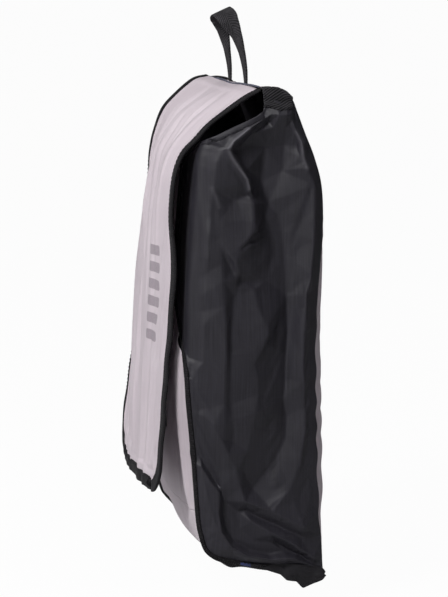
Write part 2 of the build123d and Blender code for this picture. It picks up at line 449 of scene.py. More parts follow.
def printed_blocks(f, split, colour, blocks):
    """A column of plain rounded blocks printed on the cloth."""
    across, first, pitch, count, width, height, ink = blocks
    x = f.math("ABSOLUTE", f.math("SUBTRACT", split.outputs[0], across * MM))
    run = f.math("DIVIDE", f.math("SUBTRACT", split.outputs[1], first * MM), pitch * MM)
    y = f.math("MULTIPLY", f.math("ABSOLUTE", f.math("SUBTRACT", f.math("FRACT", run), 0.5)), pitch * MM)
    corner = 0.0022
    dx, dy = (
        f.math("MAXIMUM", f.math("SUBTRACT", far, size / 2 * MM - corner), 0.0)
        for far, size in ((x, width), (y, height))
    )
    far = f.math("SQRT", f.math("ADD", f.math("MULTIPLY", dx, dx), f.math("MULTIPLY", dy, dy)))
    inside = f.math("LESS_THAN", far, corner)
    started = f.math("GREATER_THAN", run, 0.0)
    ended = f.math("LESS_THAN", run, float(count))
    mask = f.math("MULTIPLY", inside, f.math("MULTIPLY", started, ended))
    wear_and_highlight = f.noise(f.scaled(split.inputs[0].links[0].from_socket, 700, 700), 1.0, 3.0)
    strength = f.math("MULTIPLY", mask, f.math("MULTIPLY_ADD", wear_and_highlight, 0.5, 0.55))
    return f.mix(strength, colour, ink)


def ribbed(name, dark, light, pitch, relief, rough, twill=False):
    """Narrow tape: ribs straight across its length (v), or slanting both ways from its middle."""
    f = Finish(name)
    uv = f.node("TexCoord").outputs["UV"]
    place = f.node("TexCoord").outputs["Object"]
    split = f.node("SeparateXYZ", None, Vector=uv)
    lengthwise = split.outputs[1]
    if twill:
        lengthwise = f.math("MULTIPLY_ADD", f.math("ABSOLUTE", split.outputs[0]), 0.8, lengthwise)
    ribs = f.math("SINE", f.math("MULTIPLY", lengthwise, 2 * math.pi / (pitch * MM)))
    threads = f.math("SINE", f.math("MULTIPLY", split.outputs[0], 2 * math.pi / (0.8 * MM)))
    fuzz = f.noise(place, 1500, 2.0)
    height = f.math("MULTIPLY_ADD", threads, 0.25, f.math("ADD", ribs, fuzz))
    bump = f.node("Bump", None, Strength=relief, Distance=0.0003, Height=height).outputs[0]
    wear_and_highlight = f.noise(place, 120, 3.0)
    tone = f.math("MULTIPLY_ADD", ribs, 0.4, wear_and_highlight)
    colour = f.mix(tone, dark, light)
    shader = f.node(
        "BsdfPrincipled", None, Base_Color=colour, Roughness=rough, Normal=bump,
        Sheen_Weight=0.02, Sheen_Roughness=0.4, Specular_IOR_Level=0.22,
    ).outputs[0]
    return f.output(shader)


# the print: its middle, where it starts, its pitch, number, width and height of blocks, and ink
PRINT = (36.0, 152.0, 13.5, 6, 28.0, 8.0, srgb(138, 128, 136))
# each woven cloth: dark and light colour, relief, roughness, sheen, glint, streak and light let through
PALE = (srgb(185, 174, 181), srgb(207, 197, 203), 0.4, 0.62, 0.1, 0.3, 0.7, 0.08)
pale = woven("pale_fabric", *PALE)
printed = woven("pale_fabric_printed", *PALE, PRINT)
# the black cloth's crest colour is a painted highlight along the sharpest fold crests, with some crease wear
taffeta = woven(
    "black_fabric", srgb(20, 18, 25), srgb(38, 36, 44), 0.22, 0.58, 0.02, 0.42, 1.5, crest=srgb(84, 82, 88)
)
# the inner face of the pale panels takes this dark grey: painted shade for the shadowed inside of the bag
painted_inside_shade = woven("inside_painted_shade", srgb(56, 54, 60), srgb(72, 70, 76), 0.3, 0.7, 0.0, 0.1, 0.5)
tape_black = ribbed("black_tape", srgb(8, 7, 9), srgb(26, 24, 27), 1.8, 0.5, 0.7)
taped_cloth = woven("black_tape_bunched", srgb(16, 15, 18), srgb(32, 30, 35), 0.4, 0.65, 0.02, 0.3, 1.5)
webbing = ribbed("black_webbing", srgb(10, 10, 11), srgb(58, 56, 60), 2.4, 1.0, 0.8, True)
thread = ribbed("black_thread", srgb(16, 15, 18), srgb(40, 38, 43), 0.5, 0.6, 0.6)
hooks = ribbed("hook_fastener", srgb(20, 20, 21), srgb(48, 48, 50), 0.9, 1.0, 0.45)
loops = woven("loop_fastener", srgb(22, 22, 24), srgb(46, 46, 48), 1.0, 0.85, 0.5)
label_blue = woven("blue_label", srgb(20, 26, 60), srgb(44, 58, 110), 0.5, 0.5, 0.2)


# ---------------------------------------------------------------- seam lines, as (y, z)
BACK_SEAM = [
    (52, -1.5), (50.5, 22), (49.5, 32), (47.5, 70), (46, 133), (45.6, 180), (47, 215), (50.5, 262),
    (49.7, 296), (44, 319), (36.5, 338), (30, 355), (26.5, 363.5), (20, 370), (12, 371.8),
]
BASE_SEAM = [(-41, 19), (-36.5, 14.5), (-30, 11.5), (-14, 8), (3, 5.5), (25, 3.4), (43, 0.6), (52, -1.5)]
FRONT_SEAM = [
    (-41, 19), (-44.5, 30), (-47, 44), (-51, 98), (-54.5, 136), (-56, 170), (-56, 200), (-54.8, 228),
    (-52.8, 259), (-50.5, 289), (-48, 316),
]
MOUTH_EDGE = [(-48, 316), (-45.5, 326), (-40, 333.5), (-20.3, 343.5), (-4, 350.5), (3, 356), (4, 369)]


def back_seam(count):
    """The back seam, drawn up by its stitching into shallow scallops."""
    line = curve_through(BACK_SEAM, count)
    z = line[:, 1]
    scallop = 0.6 * np.sin(z / 4.1 + 1.5 * np.sin(z / 19))
    line[:, 0] += scallop * smoothstep(z, 15, 45) * (1 - smoothstep(z, 185, 215))
    return line


# ---------------------------------------------------------------- gussets
# How far the side cloth stands out (or sinks in) along its folds: (y, z, depth).
FOLDS = {
    "chevron_band": [
        (4, 352.5, 3.4), (-11, 344.5, 5.2), (-22.5, 336.5, 6), (-27.5, 328, 6.2), (-25, 320.5, 6),
        (-17, 309, 5.2), (-12, 302, 4.2), (-10.5, 296, 2.6),
    ],
    "chevron": [
        (4.5, 350, 4), (-9, 342.5, 7.4), (-20.5, 334.5, 8.8), (-25, 328, 9.4), (-22.5, 322, 9.2),
        (-15, 311.5, 8.4), (-10, 304.5, 7.4), (-8, 297.5, 6), (-7.5, 294, 4.8),
    ],
    "chevron_foot": [
        (7.5, 347.5, 1), (-6, 339.5, 2.6), (-16.5, 331.5, 3.6), (-20.5, 327, 3.8), (-18, 322.5, 3.2),
        (-10, 312, 2), (-5.5, 305, 0.6), (-4, 297.5, 0.4), (-3, 290, 0.8),
    ],
    "upper_hollow": [(-14.5, 330.5, 1.4), (5.5, 329, -2), (21, 329.5, -1.8), (30, 330, 1.4)],
    "hollow_lip": [(-14.5, 328, 1.5), (5.5, 327, -1.9), (21, 327, -1.7), (30.5, 328, 1.5)],
    "tab_edge": [(8.5, 353, 5), (14.5, 352.5, 6.6), (20.5, 352.5, 6.8), (24, 353, 5.8)],
    "hollow_top": [(10.5, 343, 3.2), (20.5, 343, 3.4)],
    "upper_valley": [
        (33.5, 316.5, 3.2), (19.5, 310.5, -2.6), (3.5, 303, -5.4), (5.5, 294, -5), (8.5, 285.5, -4.6),
        (16.5, 276, -3.6), (19, 264.5, -3.2), (21.5, 245, -3), (23, 214.5, -3), (24, 187.5, -2.8),
    ],
    "right_ridge": [
        (25, 348.5, 4.6), (28.5, 340, 4.8), (33, 331.5, 5.2), (34.5, 318.5, 5.2), (37, 312, 5.2),
        (42.5, 299, 4.8), (43, 280, 5.2), (42, 257, 6), (39.5, 230.5, 6.6), (35.5, 215.5, 6.8),
        (34.5, 188.5, 6.8),
    ],
    "ridge_inside": [(23.5, 346, 3.6), (26.5, 339, 3.4), (31, 330.5, 3.4), (32.5, 320, 3)],
    "front_ridge": [
        (-44, 309.5, 4.6), (-37, 298.5, 5), (-33, 289, 4.6), (-31.5, 284.5, 4), (-31.5, 274, 5.2),
        (-30.5, 262.5, 6.6), (-30, 242, 7.6), (-29, 228.5, 8.4), (-28, 209.5, 8.6), (-26.5, 190.5, 8.6),
    ],
    "left_area": [
        (-47, 317.5, 4.8), (-48, 293, 5.2), (-48.5, 266.5, 5), (-49.5, 247.5, 4.6), (-51, 232.5, 3.6),
    ],
    "slope_top": [(-38, 325, 4.8), (-30.5, 319, 5.8), (-22.5, 309.5, 6), (-16, 301, 5.2)],
    "facet_top": [(-31.5, 284.5, 4), (-19.5, 289, 1.2), (-9, 292.5, 0.8), (-7, 291.5, 2.2)],
    "facet_right": [
        (-7, 291.5, 2.2), (-4.5, 286, 4.4), (-4.5, 273.5, 6.6), (-5.5, 266, 7.4), (-1.5, 266.5, 6.2),
        (-10, 258.5, 8), (-16, 252.5, 8.6),
    ],
    "notch": [(0.5, 263, 1.8), (-7, 258, 4.4), (-14, 253, 6.6)],
    "notch_low": [(-0.5, 256, 3.2), (-7.5, 256, 6.4), (-14.5, 250.5, 8.2)],
    "facet_low": [(0, 254, 2.6), (-9.5, 249, 6.2), (-19.5, 243, 9)],
    "facet_left": [(-30, 257.5, 7.2), (-24, 247.5, 8.4), (-19.5, 243, 9)],
    "wedge_top": [(-27.5, 249, 6), (-23, 241.5, 5.2), (-21, 235.5, 4.8)],
    "crest_line": [(-19.5, 243, 9), (-17.5, 236, 7.4), (-17, 230, 6.4), (-18, 222, 5.2)],
    "wedge_valley": [
        (-18, 222, 5.2), (-19.5, 216.5, 4.6), (-21, 205, 4.4), (-22.5, 189.5, 4.6), (-22.5, 174.5, 4.8),
    ],
    "corridor": [
        (-14.5, 227.5, 3.4), (-3.5, 222.5, 3), (5.5, 226.5, -0.4), (12, 245.5, -2.2), (10, 261, -2.4),
        (6, 276, -2.2),
    ],
    "middle_ridge": [(-4, 221.5, 4.4), (-2, 208.5, 6.6), (3, 197, 7.2), (6.5, 187, 7), (3.5, 179.5, 7)],
    "front_crease": [(-55.5, 222.5, 1.8), (-47.5, 229, 3), (-38, 237, 5.2), (-30, 241, 7.6)],
    "front_below": [(-53.5, 213.5, 3.4), (-45, 218, 5), (-35.5, 223.5, 7.2)],
    "front_ridge_low": [
        (-26.5, 190.5, 8.6), (-26.5, 172.5, 8.4), (-27, 153, 8), (-27, 133.5, 7.4), (-27.5, 118.5, 9.5),
        (-28.5, 105, 8.7),
    ],
    "wedge_valley_low": [
        (-22.5, 189, 4.8), (-22.5, 171.5, 5.2), (-22.5, 152.5, 5.2), (-22, 133, 4.8), (-21, 121.5, 6.3),
        (-20.5, 104, 5.5),
    ],
    "middle_ridge_low": [
        (5, 194, 7), (1, 186, 6.8), (-4, 175, 6.8), (-4.5, 163.5, 6.8), (-1.5, 152, 6.6),
        (-1, 140.5, 6.2), (-3, 127, 8.7), (-6, 113.5, 8.2), (-9.5, 96, 7.3), (-13, 80.5, 6.5),
    ],
    "middle_valley": [
        (24, 186.5, -2.8), (22.5, 169, -2.6), (22, 149.5, -2.4), (20.5, 134, -2.2), (23, 120.5, -3),
        (22, 105, -2), (14, 89.5, -1.1), (6, 78.5, -0.1), (-4.5, 65.5, 1.6),
    ],
    "right_ridge_low": [
        (34, 187.5, 6.6), (33.5, 168, 6), (34, 148.5, 5.2), (36, 129, 4.2), (36, 109.5, 5.5),
        (32.5, 86.5, 4.9), (24.5, 65, 5.2),
    ],
    "front_face": [(-49, 189.5, 3.8), (-48.5, 170.5, 3.8), (-48.5, 151, 3.4), (-47.5, 135.5, 3)],
    "low_crease": [
        (-41.5, 130, 4.8), (-35.5, 117.5, 9.2), (-29, 104, 9.8), (-24.5, 93.5, 9.5), (-18, 81.5, 9.2),
        (-15.5, 69.5, 9), (-11.5, 57, 9.5),
    ],
    "low_crease_under": [
        (-44, 124, 5.2), (-37.5, 110.5, 6), (-32, 96.5, 5.5), (-30, 83, 5.2), (-30.5, 67.5, 5.7),
    ],
    "spoke_ridge": [(-44.5, 87, 2.9), (-40, 76.5, 6.8), (-31.5, 66, 8.7)],
    "spoke_valley": [(-45.5, 93, 0.6), (-38, 79.5, 1.6), (-31.5, 68, 3.2)],
    "front_spoke": [(-45, 86, 4.6), (-42, 64.5, 7), (-37.5, 47, 7.5), (-34, 35, 7.3)],
    "swoosh": [
        (-31.5, 66, 8.7), (-32, 49, 9), (-30, 34, 9), (-23, 23, 8.7), (-9.5, 14.5, 8.2), (10.5, 10, 7.1),
        (28.5, 9.5, 6), (44.5, 2.5, 2.6),
    ],
    "swoosh_foot": [
        (-27, 57, 3.5), (-27.5, 45.5, 2.9), (-25, 34, 2.4), (-19, 25.5, 1.6), (-7, 17.5, 1),
        (7.5, 13.5, 0.8), (19.5, 15.5, 1),
    ],
    "hollow_low": [(-16, 48.5, 1.6), (-14, 34.5, 1.6), (-4.5, 26.5, 1.8), (11.5, 23.5, 1.8)],
    "heel_top_edge": [(-11.5, 57, 9.5), (10, 48.5, 8.2), (35.5, 34, 6.3)],
    "heel_band": [(-11, 49.5, 1.6), (9.5, 39, 0.8), (33.5, 26.5, 1.3)],
    "heel_ridge": [(-7, 42.5, 5.5), (10.5, 31.5, 6.8), (28, 20.5, 6.5), (43, 10, 3.5)],
    "heel_valley": [(13, 24, -0.1), (30, 13.5, -0.3), (44, 3.5, -0.3), (50.5, -3, -0.6)],
}
# the free edge of the mouth stands out from the bag: heights, depths
MOUTH_LIFT = ([316, 330, 343, 351, 358, 366], [0, 3.4, 4.4, 3.8, 2.4, 0])
FOLD_GAIN = 1.25
# the folds are shallower low on the bag: heights, shares
LOW_CALM = ([35, 65, 120, 150, 292, 312], [1, 0.8, 0.8, 1, 1, 1.15])
GUSSET_COLS, GUSSET_ROWS = 133, 447
WRAP, WRAP_RADIUS = 48.0, 9.0
# how far the far side's front edge slouches back: heights, distances
SLOUCH = ([110, 150, 186, 212, 232, 250, 300, 318, 335, 352], [0, 4.5, 10, 13, 14, 14, 12, 11, 5, 0])


def wrap_at(z):
    """How far the gusset's cloth turns round the front corner before its seam, at a height."""
    return WRAP * smoothstep(z, 150, 225)


def set_back(x, y, z):
    """The far side's front edge slouches backwards: how far each place moves in y."""
    away = np.clip((0.15 - x / HALF) / 1.15, 0, 1) ** 1.4
    upper = np.interp(z, *SLOUCH)
    lower = 6 * (1 - smoothstep(z, 30, 150)) * smoothstep(-y, 10, 40) * smoothstep(-x / HALF, -0.2, 1)
    return upper * away * smoothstep(-y, 0, 45) + lower


def gusset_outline():
    """Grid of (y, z) inside the gusset's outline: rows climb from the base seam to the top corner."""
    front = np.vstack([curve_through(FRONT_SEAM, 400)[:-1], curve_through(MOUTH_EDGE, 120)])
    along = arc_length(front)
    at = np.linspace(0, along[-1], GUSSET_ROWS)
    left = np.column_stack([np.interp(at, along, front[:, k]) for k in (0, 1)])
    right = back_seam(GUSSET_ROWS)
    low = curve_through(BASE_SEAM, GUSSET_COLS)
    u = np.linspace(0, 1, GUSSET_COLS)[None, :, None]
    v = np.linspace(0, 1, GUSSET_ROWS)[:, None, None]
    high = left[-1] * (1 - u[0]) + right[-1] * u[0]
    sides = (1 - u) * left[:, None] + u * right[:, None]
    ends = (1 - v) * low[None] + v * high[None]
    corners = (1 - u) * (1 - v) * low[0] + u * (1 - v) * low[-1] + (1 - u) * v * high[0] + u * v * high[-1]
    flat = sides + ends - corners
    wrapped = np.empty((GUSSET_ROWS, GUSSET_COLS, 3))
    turned = np.empty((GUSSET_ROWS, GUSSET_COLS))
    corner = arc_length(curve_through(FRONT_SEAM, 400))[-1]
    for r in range(GUSSET_ROWS):
        wrap = wrap_at(flat[r, 0, 1]) * (1 - smoothstep(at[r], corner, corner + 24))
        radius = min(wrap, WRAP_RADIUS)
        row = arc_length(flat[r])
        bend = wrap - radius
        s = np.linspace(0, bend + math.pi / 2 * radius + row[-1] - radius, GUSSET_COLS)
        turn = np.clip((s - bend) / max(radius, 1e-6), 0, math.pi / 2)
        t = radius * (1 - np.cos(turn)) + np.maximum(s - bend - math.pi / 2 * radius, 0)
        wrapped[r, :, 0] = HALF - wrap + np.minimum(s, bend) + radius * np.sin(turn)
        wrapped[r, :, 1] = np.interp(t, row, flat[r, :, 0])
        wrapped[r, :, 2] = np.interp(t, row, flat[r, :, 1])
        turned[r] = smoothstep(t, radius * 0.5, radius + 5) if wrap > 0.5 else 1
    return wrapped, turned, int(np.argmin(abs(at - corner)))


def fold_depth(outline):
    """Depth of the cloth at each (y, z) of the outline grid, straight between the folds and then softened."""
    rim = np.vstack([outline[0, ::6], outline[::8, -1], outline[-1, ::12]])
    front = outline[::8, 0]
    known = [(y, z, d) for line in FOLDS.values() for y, z, d in line]
    known += [(y, z, 0.0) for y, z in rim]
    known += [(y, z, float(np.interp(z, *MOUTH_LIFT))) for y, z in front]
    creases, first = [], 0
    for line in FOLDS.values():
        creases += [(first + i, first + i + 1) for i in range(len(line) - 1)]
        first += len(line)
    points, _, triangles, _, _, _ = delaunay_2d_cdt([Vector(k[:2]) for k in known], creases, [], 0, 0.05)
    values = []
    for p in points:
        values.append(min(known, key=lambda k: (k[0] - p.x) ** 2 + (k[1] - p.y) ** 2)[2])
    net = BVHTree.FromPolygons([Vector((p.x, p.y, d)) for p, d in zip(points, values)], triangles)
    depth = np.zeros(outline.shape[:2])
    for r, c in np.ndindex(depth.shape):
        hit = net.ray_cast(Vector((*outline[r, c], 50)), Vector((0, 0, -1)))[0]
        depth[r, c] = hit.z if hit else 0
    return softened(depth, 3)


# the crests painted pale, partly crease wear and partly a painted highlight: fold, its stretch, width and strength
CREST_WEAR_AND_HIGHLIGHTS = (
    ("chevron", slice(1, -1), 1.2, 1.0),
    ("right_ridge", slice(1, 5), 1.6, 0.5),
    ("front_ridge", slice(1, 4), 1.6, 0.3),
)


def crest_wear_and_highlights(outline):
    """How much pale crest colour each grid point takes, partly crease wear and partly a painted highlight: most along
    the sharpest crests, fading within 2 mm.
    """
    wear_and_highlight = np.zeros(outline.shape[:2])
    for fold, stretch, width, strength in CREST_WEAR_AND_HIGHLIGHTS:
        line = FOLDS[fold][stretch]
        for (y, z, _), (next_y, next_z, _) in zip(line, line[1:]):
            run = np.array([next_y - y, next_z - z])
            share = np.clip(((outline - [y, z]) @ run) / (run @ run), 0, 1)
            far = np.linalg.norm(outline - [y, z] - share[..., None] * run, axis=2)
            wear_and_highlight = np.maximum(wear_and_highlight, strength * np.exp(-((far / width) ** 2)))
    return wear_and_highlight


wrapped, turned, front_rows = gusset_outline()
outline = wrapped[..., 1:]
right_depth = fold_depth(outline) * FOLD_GAIN * turned * np.interp(outline[..., 1], *LOW_CALM)
# The hidden side has the same cut with calmer folds that sit a few rows lower and fade at the top.
ROWS_LOWER, CALMING, LEFT_SHARE, FADING_ROWS = 18, 60, 0.9, 24
left_depth = softened(np.roll(right_depth, -ROWS_LOWER, axis=0), CALMING) * LEFT_SHARE
left_depth[-FADING_ROWS:] *= np.linspace(1, 0, FADING_ROWS)[:, None]
gusset_uv = outline.copy()
held = hold_rim(outline.shape[:2], 8)


def gusset_grid(side, depth):
    flat = np.empty(outline.shape[:2] + (3,))
    flat[..., 0] = side * (wrapped[..., 0] + depth)
    flat[..., 1:] = outline
    flat[..., 1] += set_back(flat[..., 0], outline[..., 0], outline[..., 1])
    return relax(flat, held, 0.005, 0.8, step=2)


gusset_right = gusset_grid(1, right_depth)
gusset_left = gusset_grid(-1, left_depth)


# ---------------------------------------------------------------- back panel
PANEL_COLS = 81
across = np.linspace(-1, 1, PANEL_COLS)
back_line = np.vstack([back_seam(151), [[6, 372.2]]])
BACK_ROWS = len(back_line)


def back_grid():
    grid = np.empty((BACK_ROWS, PANEL_COLS, 3))
    z = back_line[:, 1]
    bulge = np.interp(z, [0, 22, 70, 133, 215, 250, 296, 345], [2, 10, 14.5, 14.4, 12, 9, 3, 0])
    bulge = np.convolve(np.pad(bulge, 6, mode="edge"), np.ones(13) / 13, mode="valid")
    ends = np.linspace(0, 1, BACK_ROWS)
    slope = np.gradient(back_line, axis=0)
    slope /= np.linalg.norm(slope, axis=1)[:, None]
    normal = np.column_stack([slope[:, 1], -slope[:, 0]])
    for c, a in enumerate(across):
        swell = 1 - abs(a) ** 6
        sag = 1.2 * math.sin(2.2 * a + 0.4) * np.sin(math.pi * ends) * (1 - a * a)
        edge = 1 - abs(a)
        pucker = np.sin(z / 2.6 + 5 * np.sin(z / 23) + (0 if a > 0 else 2))
        pucker = pucker * math.exp(-edge / 0.07) * edge / 0.05
        calm = smoothstep(z, 20, 60) * (1 - smoothstep(z, 300, 330))
        out = bulge * swell + sag * calm + 0.55 * pucker * calm
        grid[:, c, 0] = a * (HALF - 0.2)
        grid[:, c, 1:] = back_line + normal * out[:, None]
    # the middle of the top sinks a little between the loop's feet
    top = smoothstep(z, 368, 372.5)[:, None]
    grid[..., 2] -= top * 1.3 * hump(grid[..., 0], 0, 22)
    grid[..., 2] += top * 0.6 * hump(grid[..., 0], 88, 20)
    return relax(grid, hold_rim(grid.shape[:2], 2), 0.006, 1.8)


back = back_grid()


# ---------------------------------------------------------------- front and base panels, one strip of cloth
strip_line = np.vstack([curve_through(FRONT_SEAM, 122)[::-1][:-1], curve_through(BASE_SEAM, 40)])
FRONT_ROWS = int(np.argmin(abs(strip_line[:110, 1] - 32)))


def strip_grid():
    grid = np.empty((len(strip_line), PANEL_COLS, 3))
    y, z = strip_line.T
    slope = np.gradient(strip_line, axis=0)
    slope /= np.linalg.norm(slope, axis=1)[:, None]
    normal = np.column_stack([slope[:, 1], -slope[:, 0]])
    front = smoothstep(z, 24, 60)
    for c, a in enumerate(across):
        x = a * (HALF - 0.4 - wrap_at(z))
        swell = 1 - abs(a) ** 2.4
        crown = 2.4 * (1 - smoothstep(z, 190, 250))
        crown = crown + 7 * smoothstep(z, 170, 250) * (1 - smoothstep(z, 280, 314))
        out = swell * (crown * front + 1.2)
        # a soft slanting hollow beside the near seam, and two calmer ones further in
        out -= 4.2 * hump(x, 84 - (z - 60) * 0.10, 9) * front * (1 - smoothstep(z, 150, 230)) * swell ** 0.25
        out += 2.2 * hump(x, 62 - (z - 60) * 0.16, 11) * front * (1 - smoothstep(z, 150, 240))
        out -= 2.0 * hump(x, -10 + (z - 60) * 0.12, 16) * front * (1 - smoothstep(z, 160, 260))
        out += 1.2 * hump(x, -52, 20) * front
        # a raised pleat runs down close to the near seam
        out += 6.0 * hump(x, 95 - (z - 60) * 0.02, 6) * smoothstep(z, 22, 70) * (1 - smoothstep(z, 165, 200))
        grid[:, c, 0] = x
        grid[:, c, 1:] = strip_line + normal * out[:, None]
        grid[:, c, 1] += set_back(x, y, z)
    return relax(grid, hold_rim(grid.shape[:2], 2), 0.008, 1.6)


strip = strip_grid()

# ---------------------------------------------------------------- flap
# Lengthwise paths of the flap at six places across its width, from the ridge to the hem: x, then (y, z).
FLAP_PATHS = {
    105: [
        (3, 370.8), (-10.8, 363.2), (-34.6, 345.9), (-46.9, 333.7), (-56.5, 324), (-62.3, 309),
        (-64.8, 290.2), (-65.5, 272), (-63.9, 250), (-63.4, 232), (-64.4, 212.5), (-66.5, 185.7),
        (-69.7, 152.7), (-72.1, 119.5), (-74.3, 89.3), (-76.6, 61),
    ],
    52: [
        (3, 372.3), (-11, 366), (-34, 348.5), (-48, 334), (-57, 321.5), (-62, 308), (-65, 290),
        (-66.6, 272), (-67, 250), (-67, 232), (-68, 212), (-70, 186), (-72, 153), (-74, 120), (-75.5, 88),
        (-77, 58),
    ],
    0: [
        (3, 371.6), (-11, 366.5), (-34, 349.5), (-47.5, 333), (-56, 320), (-60.5, 306), (-63.6, 289),
        (-66.6, 271), (-68.6, 250), (-69.6, 232), (-70.5, 212), (-71.6, 186), (-72.8, 153), (-74, 119),
        (-75, 86), (-76, 55.5),
    ],
    -50: [
        (3, 372.6), (-11, 367.5), (-34, 350), (-46, 333), (-52.5, 320), (-56.5, 304), (-59.5, 287),
        (-63, 268), (-65.4, 250), (-67.4, 232), (-69.2, 212), (-70.8, 186), (-72.4, 153), (-73.2, 118),
        (-74, 85), (-74.5, 54.5),
    ],
    -80: [
        (2.5, 373.4), (-12, 369), (-34, 350), (-44, 332), (-48.5, 317), (-51.8, 301), (-54.2, 283),
        (-57.2, 266), (-60, 250), (-62.2, 232), (-64, 212), (-65.8, 186), (-67.8, 153), (-70.2, 118),
        (-72.5, 85), (-73.2, 56),
    ],
    -105: [
        (1.5, 374), (-12.1, 370), (-33.5, 350), (-43, 330), (-46.4, 311.7), (-46.6, 299), (-46.4, 282),
        (-46.4, 266), (-47.2, 250), (-49, 232), (-51, 212), (-54.5, 186), (-60, 150), (-66, 116),
        (-70.5, 80), (-71.7, 60),
    ],
}
FLAP_ROWS, FLAP_COLS = 165, 121
FLAP_HALF = 105.0
CORNER = 28.0
EDGE_INSET = 1.0


def flap_grid():
    places = sorted(FLAP_PATHS)
    lines = np.array([curve_through(FLAP_PATHS[x], FLAP_ROWS) for x in places])
    run = arc_length(lines[places.index(0)])
    total = run[-1]
    grid = np.empty((FLAP_ROWS, FLAP_COLS, 3))
    uv = np.empty((FLAP_ROWS, FLAP_COLS, 2))
    half = FLAP_HALF - EDGE_INSET
    for r in range(FLAP_ROWS):
        ahead = total - run[r]
        cut = CORNER - math.sqrt(max(CORNER**2 - (CORNER - ahead) ** 2, 0)) if ahead < CORNER else 0
        xs = np.linspace(-(half - cut), half - cut, FLAP_COLS)
        knots = np.column_stack([places, lines[:, r]])
        dense = curve_through(knots, 200)
        order = np.argsort(dense[:, 0])
        grid[r, :, 0] = xs
        for k in (1, 2):
            grid[r, :, k] = np.interp(xs, dense[order, 0], dense[order, k])
        uv[r, :, 0] = xs
        uv[r, :, 1] = run[r]
    return grid, uv, run


flap, flap_uv, flap_run = flap_grid()


def push_along_normal(grid, amount):
    """Moves each point of a grid along its own normal, towards the front or up for positive amounts."""
    du = np.gradient(grid, axis=1)
    dv = np.gradient(grid, axis=0)
    normal = np.cross(du, dv)
    normal /= np.maximum(np.linalg.norm(normal, axis=2, keepdims=True), 1e-9)
    facing = normal[..., 1:2] * -0.7 + normal[..., 2:3] * 0.7
    normal *= np.where(facing < 0, -1, 1)
    return grid + normal * amount[..., None]


# folds that fan from the ridge: place and its drift, width and its growth, height
FAN_FOLDS = (
    (-31, -26, 5, 6, -2.4), (30, -22, 5, 7, -2.8), (2, -26, 6, 6, 1.6), (48, -4, 7, 5, 1.3),
    (68, 6, 6, 5, -1.6),
)
# calm folds down the front: place, sway with its pitch and phase, width, height
FRONT_FOLDS = (
    (22, 8, 70, 0, 13, 1.3), (58, 6, 55, 1, 14, -1.6), (-18, 7, 60, 2, 12, -1.2), (84, 3, 40, 0, 8, 0.9)
)
SMALL_CREASES = 34


def flap_folds():
    """Soft folds that fan from the loop's feet forward and down, and calmer ones on the front."""
    s = flap_run[:, None]
    x = flap[..., 0]
    fan = smoothstep(s, 4, 34) * (1 - smoothstep(s, 95, 190))
    spread = np.clip(s / 95, 0, 1.6)
    depth = 0
    for place, drift, width, widening, height in FAN_FOLDS:
        depth += height * hump(x, place + drift * spread, width + widening * spread) * fan
    low = smoothstep(s, 120, 200) * (1 - smoothstep(s, 330, 372))
    for place, sway, pitch, phase, width, height in FRONT_FOLDS:
        depth += height * hump(x, place + sway * np.sin(s / pitch + phase), width) * low
    for _ in range(SMALL_CREASES):
        place, width, size = seed.uniform(-98, 98), seed.uniform(1.8, 5.5), seed.uniform(-1.5, 1.5)
        start, length, sway = seed.uniform(0, 260), seed.uniform(60, 190), seed.uniform(2, 7)
        line = place + sway * np.sin(s / 60 + place)
        reach = smoothstep(s, start, start + 35) * (1 - smoothstep(s, start + length, start + length + 45))
        depth += size * hump(x, line, width) * reach
    ripple = 0.5 * np.sin(s / 8.5 + 3 * np.sin(s / 41)) * np.exp(-(FLAP_HALF - abs(x)) / 9)
    return depth + ripple * smoothstep(s, 20, 60)


flap = push_along_normal(flap, flap_folds())
flap = relax(flap, hold_rim(flap.shape[:2], 6), 0.008, 1.4, 0.3)


# ---------------------------------------------------------------- pieces of cloth
BAG_TO_FRONT = {"start": (0, 27.5, 186.5), "end": (0, -37.8, 177.9)}
TOP_TO_FRONT_FLAP = {"start": (0, -45, 337), "end": (0, -66, 290)}


def finish_piece(obj, slot, *nodes, ride=None, blend=None):
    """Gives a piece its material slot, the CAD nodes it stands for and the body or bodies it follows."""
    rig.slot(obj, slot)
    if nodes:
        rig.replaces(obj, *nodes)
    if ride:
        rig.ride(obj, ride)
    else:
        first, second, ends = blend
        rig.blend(obj, first, second, **{k: tuple(to_world(v)) for k, v in ends.items()})
    return obj


BODY_BLEND = ("bag", "front", BAG_TO_FRONT)
FLAP_BLEND = ("flap_upper", "flap_lower", TOP_TO_FRONT_FLAP)

for side, grid in (("left", gusset_left), ("right", gusset_right)):
    outward = (1 if side == "right" else -1, 0, 0)
    piece = cloth_object("gusset_cloth_" + side, grid, gusset_uv, taffeta, outward, finer=False)
    if side == "right":
        # pale crest colour on the near gusset: partly crease wear, partly a painted highlight along the folds
        wear_and_highlight = piece.data.attributes.new("wear_and_highlight", "FLOAT", "POINT")
        wear_and_highlight.data.foreach_set("value", crest_wear_and_highlights(outline).ravel())
    finish_piece(piece, "black_fabric", "gusset_" + side, blend=BODY_BLEND)

back_uv = np.stack([back[..., 0], np.repeat(arc_length(back_line)[:, None], PANEL_COLS, 1)], axis=2)
# the back and front panels' inner faces take the painted shade of the bag's inside
piece = cloth_object("back_cloth", back, back_uv, pale, (0, 1, 0), inside=painted_inside_shade)
finish_piece(piece, "pale_fabric", "back_panel", ride="bag")

